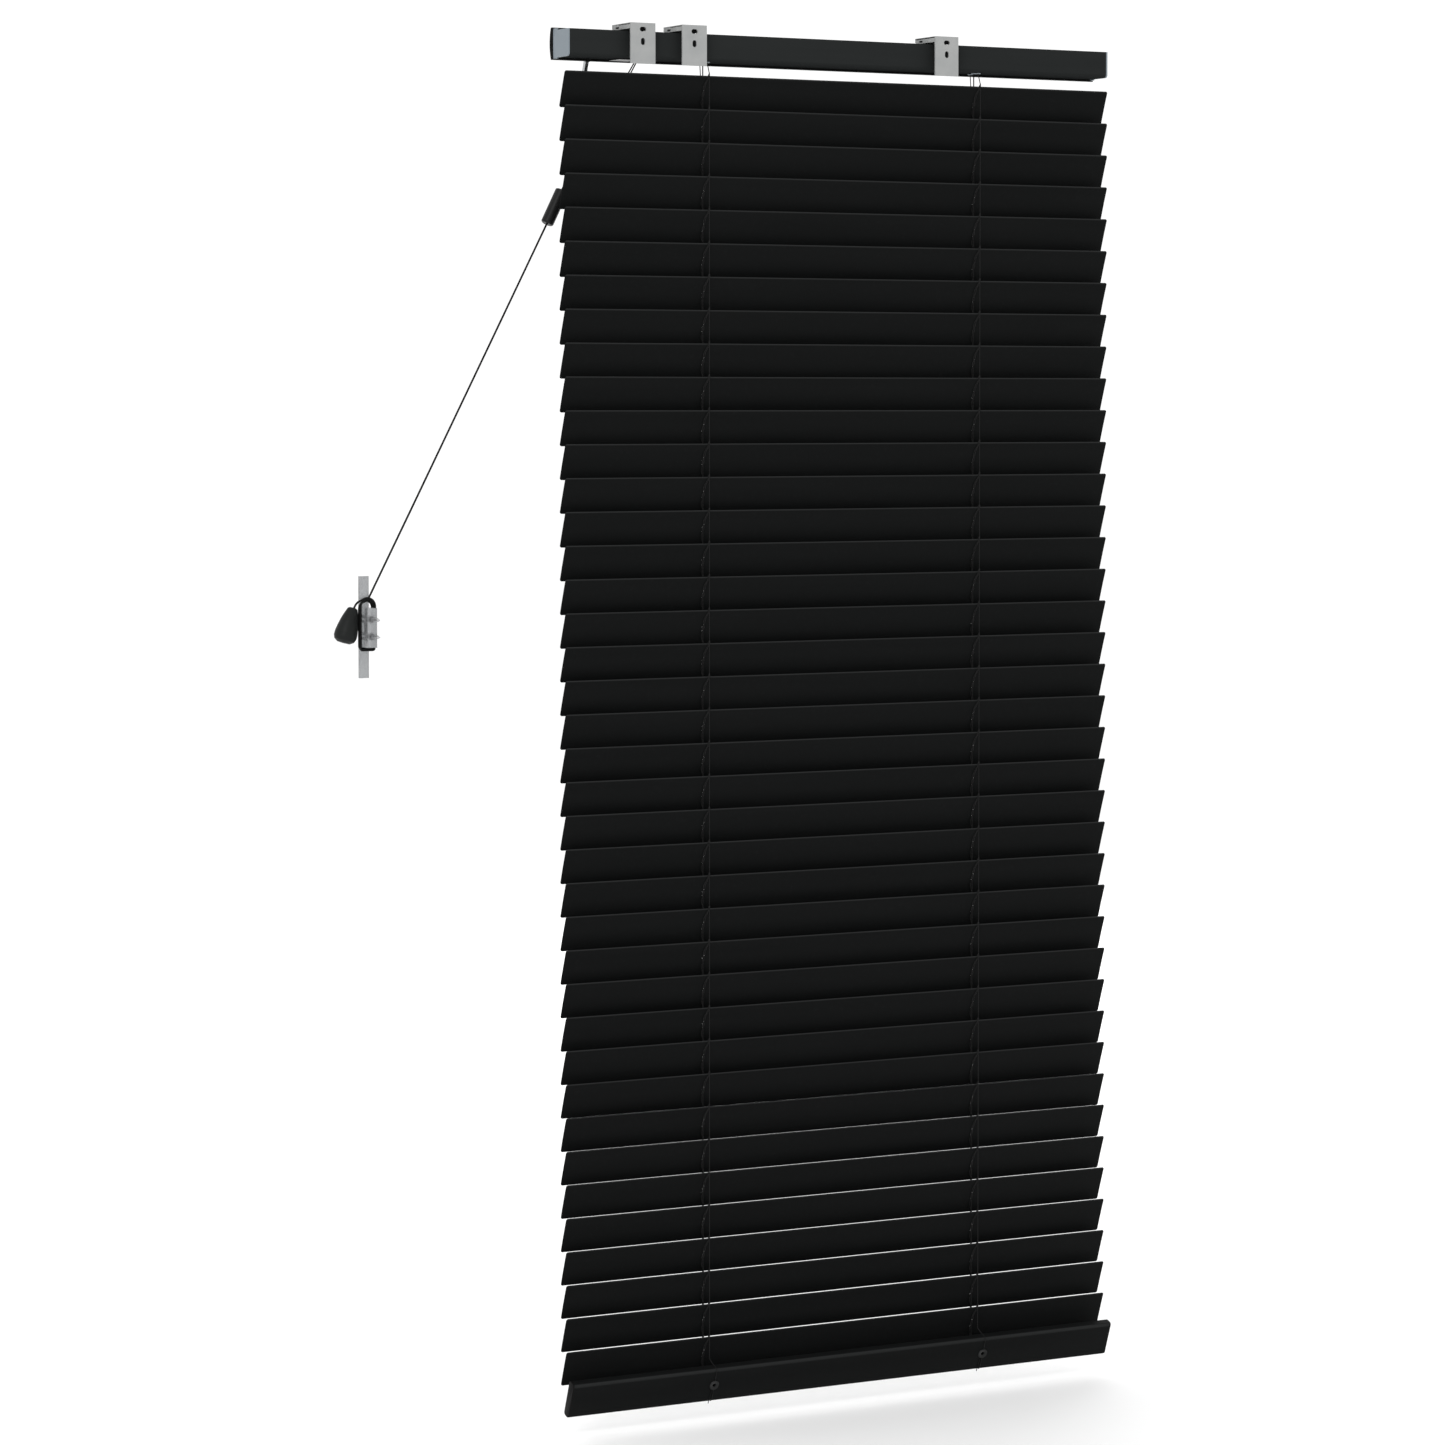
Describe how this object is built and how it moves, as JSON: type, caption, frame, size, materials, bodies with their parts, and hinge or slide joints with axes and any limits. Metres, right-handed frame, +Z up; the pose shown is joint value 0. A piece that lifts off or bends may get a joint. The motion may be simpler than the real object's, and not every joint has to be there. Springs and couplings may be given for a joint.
{
  "type": "venetian blind",
  "caption": "Corded venetian blind with black slats, a wand-turned tilt, a cord lock and a wall cleat that holds the wound pull cord.",
  "frame": {"origin": "where the wall plane that the brackets' backs touch, the plane that their tops touch and the blind's middle meet", "axes": "X along the blind, +Y from the wall into the room, +Z up"},
  "size_m": [0.8326, 0.0721, 1.3038],
  "materials": {
    "slat_black": "matt enamel",
    "rail_black": "satin enamel",
    "fascia_black": "satin enamel",
    "bottom_rail_black": "matt enamel",
    "cap_grey": "satin",
    "bracket_grey": "satin",
    "plated_steel": "zinc plated",
    "die_cast_zinc": "as cast",
    "lock_metal": "plated",
    "white_plastic": "moulded",
    "clear_wand": "clear",
    "cleat_clear": "frosted clear",
    "ladder_black": "braided polyester",
    "cord_black": "braided polyester",
    "joiner_black": "satin",
    "tassel_black": "satin"
  },
  "bodies": {
    "fixed_frame": {"head_rail": "rail_black", "fascia": "fascia_black", "end_caps": "cap_grey", "brackets": "bracket_grey", "cord_lock": "lock_metal", "lift_cords": "cord_black", "pull_cord": "cord_black", "cord_winding": "cord_black", "cord_joiner": "joiner_black", "tassel": "tassel_black", "cleat": "cleat_clear", "cleat_screws": "plated_steel"},
    "tilt_shaft": {"tilt_rod": "plated_steel", "ladder_drums": "white_plastic", "tilter_gear": "white_plastic"},
    "tilt_stem": {"tilter_worm": "die_cast_zinc"},
    "wand": {"wand": "clear_wand"},
    "lock_roller": {"cord_lock_roller": "lock_metal"},
    "bottom_rail": {"bottom_rail": "bottom_rail_black"},
    "ladder_window": {"ladder_strings_window": "ladder_black"},
    "ladder_room": {"ladder_strings_room": "ladder_black"},
    "slat_01": {"slat_01": "slat_black"},
    "slat_02": {"slat_02": "slat_black"},
    "slat_03": {"slat_03": "slat_black"},
    "slat_04": {"slat_04": "slat_black"},
    "slat_05": {"slat_05": "slat_black"},
    "slat_06": {"slat_06": "slat_black"},
    "slat_07": {"slat_07": "slat_black"},
    "slat_08": {"slat_08": "slat_black"},
    "slat_09": {"slat_09": "slat_black"},
    "slat_10": {"slat_10": "slat_black"},
    "slat_11": {"slat_11": "slat_black"},
    "slat_12": {"slat_12": "slat_black"},
    "slat_13": {"slat_13": "slat_black"},
    "slat_14": {"slat_14": "slat_black"},
    "slat_15": {"slat_15": "slat_black"},
    "slat_16": {"slat_16": "slat_black"},
    "slat_17": {"slat_17": "slat_black"},
    "slat_18": {"slat_18": "slat_black"},
    "slat_19": {"slat_19": "slat_black"},
    "slat_20": {"slat_20": "slat_black"},
    "slat_21": {"slat_21": "slat_black"},
    "slat_22": {"slat_22": "slat_black"},
    "slat_23": {"slat_23": "slat_black"},
    "slat_24": {"slat_24": "slat_black"},
    "slat_25": {"slat_25": "slat_black"},
    "slat_26": {"slat_26": "slat_black"},
    "slat_27": {"slat_27": "slat_black"},
    "slat_28": {"slat_28": "slat_black"},
    "slat_29": {"slat_29": "slat_black"},
    "slat_30": {"slat_30": "slat_black"},
    "slat_31": {"slat_31": "slat_black"},
    "slat_32": {"slat_32": "slat_black"},
    "slat_33": {"slat_33": "slat_black"},
    "slat_34": {"slat_34": "slat_black"},
    "slat_35": {"slat_35": "slat_black"},
    "slat_36": {"slat_36": "slat_black"},
    "slat_37": {"slat_37": "slat_black"},
    "slat_38": {"slat_38": "slat_black"},
    "slat_39": {"slat_39": "slat_black"}
  },
  "joints": [
    {"name": "bottom_rail_tilt", "type": "hinge", "parent": "fixed_frame", "child": "bottom_rail", "pos_m": [0, 0.02, -1.2825], "axis": [1, 0, 0], "range_deg": [0, 140]},
    {"name": "slat_01_tilt", "type": "hinge", "parent": "fixed_frame", "child": "slat_01", "pos_m": [0, 0.02, -0.0625], "axis": [1, 0, 0], "range_deg": [0, 140]},
    {"name": "slat_02_tilt", "type": "hinge", "parent": "fixed_frame", "child": "slat_02", "pos_m": [0, 0.02, -0.094], "axis": [1, 0, 0], "range_deg": [0, 140]},
    {"name": "slat_03_tilt", "type": "hinge", "parent": "fixed_frame", "child": "slat_03", "pos_m": [0, 0.02, -0.1255], "axis": [1, 0, 0], "range_deg": [0, 140]},
    {"name": "slat_04_tilt", "type": "hinge", "parent": "fixed_frame", "child": "slat_04", "pos_m": [0, 0.02, -0.157], "axis": [1, 0, 0], "range_deg": [0, 140]},
    {"name": "slat_05_tilt", "type": "hinge", "parent": "fixed_frame", "child": "slat_05", "pos_m": [0, 0.02, -0.1885], "axis": [1, 0, 0], "range_deg": [0, 140]},
    {"name": "slat_06_tilt", "type": "hinge", "parent": "fixed_frame", "child": "slat_06", "pos_m": [0, 0.02, -0.22], "axis": [1, 0, 0], "range_deg": [0, 140]},
    {"name": "slat_07_tilt", "type": "hinge", "parent": "fixed_frame", "child": "slat_07", "pos_m": [0, 0.02, -0.2515], "axis": [1, 0, 0], "range_deg": [0, 140]},
    {"name": "slat_08_tilt", "type": "hinge", "parent": "fixed_frame", "child": "slat_08", "pos_m": [0, 0.02, -0.283], "axis": [1, 0, 0], "range_deg": [0, 140]},
    {"name": "slat_09_tilt", "type": "hinge", "parent": "fixed_frame", "child": "slat_09", "pos_m": [0, 0.02, -0.3145], "axis": [1, 0, 0], "range_deg": [0, 140]},
    {"name": "slat_10_tilt", "type": "hinge", "parent": "fixed_frame", "child": "slat_10", "pos_m": [0, 0.02, -0.346], "axis": [1, 0, 0], "range_deg": [0, 140]},
    {"name": "slat_11_tilt", "type": "hinge", "parent": "fixed_frame", "child": "slat_11", "pos_m": [0, 0.02, -0.3775], "axis": [1, 0, 0], "range_deg": [0, 140]},
    {"name": "slat_12_tilt", "type": "hinge", "parent": "fixed_frame", "child": "slat_12", "pos_m": [0, 0.02, -0.409], "axis": [1, 0, 0], "range_deg": [0, 140]},
    {"name": "slat_13_tilt", "type": "hinge", "parent": "fixed_frame", "child": "slat_13", "pos_m": [0, 0.02, -0.4405], "axis": [1, 0, 0], "range_deg": [0, 140]},
    {"name": "slat_14_tilt", "type": "hinge", "parent": "fixed_frame", "child": "slat_14", "pos_m": [0, 0.02, -0.472], "axis": [1, 0, 0], "range_deg": [0, 140]},
    {"name": "slat_15_tilt", "type": "hinge", "parent": "fixed_frame", "child": "slat_15", "pos_m": [0, 0.02, -0.5035], "axis": [1, 0, 0], "range_deg": [0, 140]},
    {"name": "slat_16_tilt", "type": "hinge", "parent": "fixed_frame", "child": "slat_16", "pos_m": [0, 0.02, -0.535], "axis": [1, 0, 0], "range_deg": [0, 140]},
    {"name": "slat_17_tilt", "type": "hinge", "parent": "fixed_frame", "child": "slat_17", "pos_m": [0, 0.02, -0.5665], "axis": [1, 0, 0], "range_deg": [0, 140]},
    {"name": "slat_18_tilt", "type": "hinge", "parent": "fixed_frame", "child": "slat_18", "pos_m": [0, 0.02, -0.598], "axis": [1, 0, 0], "range_deg": [0, 140]},
    {"name": "slat_19_tilt", "type": "hinge", "parent": "fixed_frame", "child": "slat_19", "pos_m": [0, 0.02, -0.6295], "axis": [1, 0, 0], "range_deg": [0, 140]},
    {"name": "slat_20_tilt", "type": "hinge", "parent": "fixed_frame", "child": "slat_20", "pos_m": [0, 0.02, -0.661], "axis": [1, 0, 0], "range_deg": [0, 140]},
    {"name": "slat_21_tilt", "type": "hinge", "parent": "fixed_frame", "child": "slat_21", "pos_m": [0, 0.02, -0.6925], "axis": [1, 0, 0], "range_deg": [0, 140]},
    {"name": "slat_22_tilt", "type": "hinge", "parent": "fixed_frame", "child": "slat_22", "pos_m": [0, 0.02, -0.724], "axis": [1, 0, 0], "range_deg": [0, 140]},
    {"name": "slat_23_tilt", "type": "hinge", "parent": "fixed_frame", "child": "slat_23", "pos_m": [0, 0.02, -0.7555], "axis": [1, 0, 0], "range_deg": [0, 140]},
    {"name": "slat_24_tilt", "type": "hinge", "parent": "fixed_frame", "child": "slat_24", "pos_m": [0, 0.02, -0.787], "axis": [1, 0, 0], "range_deg": [0, 140]},
    {"name": "slat_25_tilt", "type": "hinge", "parent": "fixed_frame", "child": "slat_25", "pos_m": [0, 0.02, -0.8185], "axis": [1, 0, 0], "range_deg": [0, 140]},
    {"name": "slat_26_tilt", "type": "hinge", "parent": "fixed_frame", "child": "slat_26", "pos_m": [0, 0.02, -0.85], "axis": [1, 0, 0], "range_deg": [0, 140]},
    {"name": "slat_27_tilt", "type": "hinge", "parent": "fixed_frame", "child": "slat_27", "pos_m": [0, 0.02, -0.8815], "axis": [1, 0, 0], "range_deg": [0, 140]},
    {"name": "slat_28_tilt", "type": "hinge", "parent": "fixed_frame", "child": "slat_28", "pos_m": [0, 0.02, -0.913], "axis": [1, 0, 0], "range_deg": [0, 140]},
    {"name": "slat_29_tilt", "type": "hinge", "parent": "fixed_frame", "child": "slat_29", "pos_m": [0, 0.02, -0.9445], "axis": [1, 0, 0], "range_deg": [0, 140]},
    {"name": "slat_30_tilt", "type": "hinge", "parent": "fixed_frame", "child": "slat_30", "pos_m": [0, 0.02, -0.976], "axis": [1, 0, 0], "range_deg": [0, 140]},
    {"name": "slat_31_tilt", "type": "hinge", "parent": "fixed_frame", "child": "slat_31", "pos_m": [0, 0.02, -1.0075], "axis": [1, 0, 0], "range_deg": [0, 140]},
    {"name": "slat_32_tilt", "type": "hinge", "parent": "fixed_frame", "child": "slat_32", "pos_m": [0, 0.02, -1.039], "axis": [1, 0, 0], "range_deg": [0, 140]},
    {"name": "slat_33_tilt", "type": "hinge", "parent": "fixed_frame", "child": "slat_33", "pos_m": [0, 0.02, -1.0705], "axis": [1, 0, 0], "range_deg": [0, 140]},
    {"name": "slat_34_tilt", "type": "hinge", "parent": "fixed_frame", "child": "slat_34", "pos_m": [0, 0.02, -1.102], "axis": [1, 0, 0], "range_deg": [0, 140]},
    {"name": "slat_35_tilt", "type": "hinge", "parent": "fixed_frame", "child": "slat_35", "pos_m": [0, 0.02, -1.1335], "axis": [1, 0, 0], "range_deg": [0, 140]},
    {"name": "slat_36_tilt", "type": "hinge", "parent": "fixed_frame", "child": "slat_36", "pos_m": [0, 0.02, -1.165], "axis": [1, 0, 0], "range_deg": [0, 140]},
    {"name": "slat_37_tilt", "type": "hinge", "parent": "fixed_frame", "child": "slat_37", "pos_m": [0, 0.02, -1.1965], "axis": [1, 0, 0], "range_deg": [0, 140]},
    {"name": "slat_38_tilt", "type": "hinge", "parent": "fixed_frame", "child": "slat_38", "pos_m": [0, 0.02, -1.228], "axis": [1, 0, 0], "range_deg": [0, 140]},
    {"name": "slat_39_tilt", "type": "hinge", "parent": "fixed_frame", "child": "slat_39", "pos_m": [0, 0.02, -1.2595], "axis": [1, 0, 0], "range_deg": [0, 140]},
    {"name": "tilt_shaft_turn", "type": "hinge", "parent": "fixed_frame", "child": "tilt_shaft", "pos_m": [0, 0.0248, -0.0234], "axis": [1, 0, 0], "range_deg": [0, 280]},
    {"name": "tilt_stem_turn", "type": "hinge", "parent": "fixed_frame", "child": "tilt_stem", "pos_m": [-0.2665, 0.035, -0.0325], "axis": [0, 0.3584, -0.9336], "range_deg": [0, 2240]},
    {"name": "wand_turn", "type": "hinge", "parent": "fixed_frame", "child": "wand", "pos_m": [-0.2665, 0.0427, -0.05257], "axis": [0, 0, -1], "range_deg": [0, 2240]},
    {"name": "ladder_window_shift", "type": "hinge", "parent": "slat_01", "child": "ladder_window", "pos_m": [0, 0.01316, -0.04371], "axis": [1, 0, 0], "range_deg": [-140, 0]},
    {"name": "ladder_room_shift", "type": "hinge", "parent": "slat_01", "child": "ladder_room", "pos_m": [0, 0.02684, -0.08129], "axis": [1, 0, 0], "range_deg": [-140, 0]},
    {"name": "lock_roller_turn", "type": "hinge", "parent": "fixed_frame", "child": "lock_roller", "pos_m": [-0.2205, 0.0328, -0.023], "axis": [0, 1, 0], "continuous": true}
  ],
  "couplings": [
    {"joint": "slat_01_tilt", "follows": "bottom_rail_tilt", "ratio": 1},
    {"joint": "slat_02_tilt", "follows": "bottom_rail_tilt", "ratio": 1},
    {"joint": "slat_03_tilt", "follows": "bottom_rail_tilt", "ratio": 1},
    {"joint": "slat_04_tilt", "follows": "bottom_rail_tilt", "ratio": 1},
    {"joint": "slat_05_tilt", "follows": "bottom_rail_tilt", "ratio": 1},
    {"joint": "slat_06_tilt", "follows": "bottom_rail_tilt", "ratio": 1},
    {"joint": "slat_07_tilt", "follows": "bottom_rail_tilt", "ratio": 1},
    {"joint": "slat_08_tilt", "follows": "bottom_rail_tilt", "ratio": 1},
    {"joint": "slat_09_tilt", "follows": "bottom_rail_tilt", "ratio": 1},
    {"joint": "slat_10_tilt", "follows": "bottom_rail_tilt", "ratio": 1},
    {"joint": "slat_11_tilt", "follows": "bottom_rail_tilt", "ratio": 1},
    {"joint": "slat_12_tilt", "follows": "bottom_rail_tilt", "ratio": 1},
    {"joint": "slat_13_tilt", "follows": "bottom_rail_tilt", "ratio": 1},
    {"joint": "slat_14_tilt", "follows": "bottom_rail_tilt", "ratio": 1},
    {"joint": "slat_15_tilt", "follows": "bottom_rail_tilt", "ratio": 1},
    {"joint": "slat_16_tilt", "follows": "bottom_rail_tilt", "ratio": 1},
    {"joint": "slat_17_tilt", "follows": "bottom_rail_tilt", "ratio": 1},
    {"joint": "slat_18_tilt", "follows": "bottom_rail_tilt", "ratio": 1},
    {"joint": "slat_19_tilt", "follows": "bottom_rail_tilt", "ratio": 1},
    {"joint": "slat_20_tilt", "follows": "bottom_rail_tilt", "ratio": 1},
    {"joint": "slat_21_tilt", "follows": "bottom_rail_tilt", "ratio": 1},
    {"joint": "slat_22_tilt", "follows": "bottom_rail_tilt", "ratio": 1},
    {"joint": "slat_23_tilt", "follows": "bottom_rail_tilt", "ratio": 1},
    {"joint": "slat_24_tilt", "follows": "bottom_rail_tilt", "ratio": 1},
    {"joint": "slat_25_tilt", "follows": "bottom_rail_tilt", "ratio": 1},
    {"joint": "slat_26_tilt", "follows": "bottom_rail_tilt", "ratio": 1},
    {"joint": "slat_27_tilt", "follows": "bottom_rail_tilt", "ratio": 1},
    {"joint": "slat_28_tilt", "follows": "bottom_rail_tilt", "ratio": 1},
    {"joint": "slat_29_tilt", "follows": "bottom_rail_tilt", "ratio": 1},
    {"joint": "slat_30_tilt", "follows": "bottom_rail_tilt", "ratio": 1},
    {"joint": "slat_31_tilt", "follows": "bottom_rail_tilt", "ratio": 1},
    {"joint": "slat_32_tilt", "follows": "bottom_rail_tilt", "ratio": 1},
    {"joint": "slat_33_tilt", "follows": "bottom_rail_tilt", "ratio": 1},
    {"joint": "slat_34_tilt", "follows": "bottom_rail_tilt", "ratio": 1},
    {"joint": "slat_35_tilt", "follows": "bottom_rail_tilt", "ratio": 1},
    {"joint": "slat_36_tilt", "follows": "bottom_rail_tilt", "ratio": 1},
    {"joint": "slat_37_tilt", "follows": "bottom_rail_tilt", "ratio": 1},
    {"joint": "slat_38_tilt", "follows": "bottom_rail_tilt", "ratio": 1},
    {"joint": "slat_39_tilt", "follows": "bottom_rail_tilt", "ratio": 1},
    {"joint": "tilt_shaft_turn", "follows": "bottom_rail_tilt", "ratio": 2},
    {"joint": "tilt_stem_turn", "follows": "bottom_rail_tilt", "ratio": 16},
    {"joint": "wand_turn", "follows": "bottom_rail_tilt", "ratio": 16},
    {"joint": "ladder_window_shift", "follows": "bottom_rail_tilt", "ratio": -1},
    {"joint": "ladder_room_shift", "follows": "bottom_rail_tilt", "ratio": -1}
  ]
}
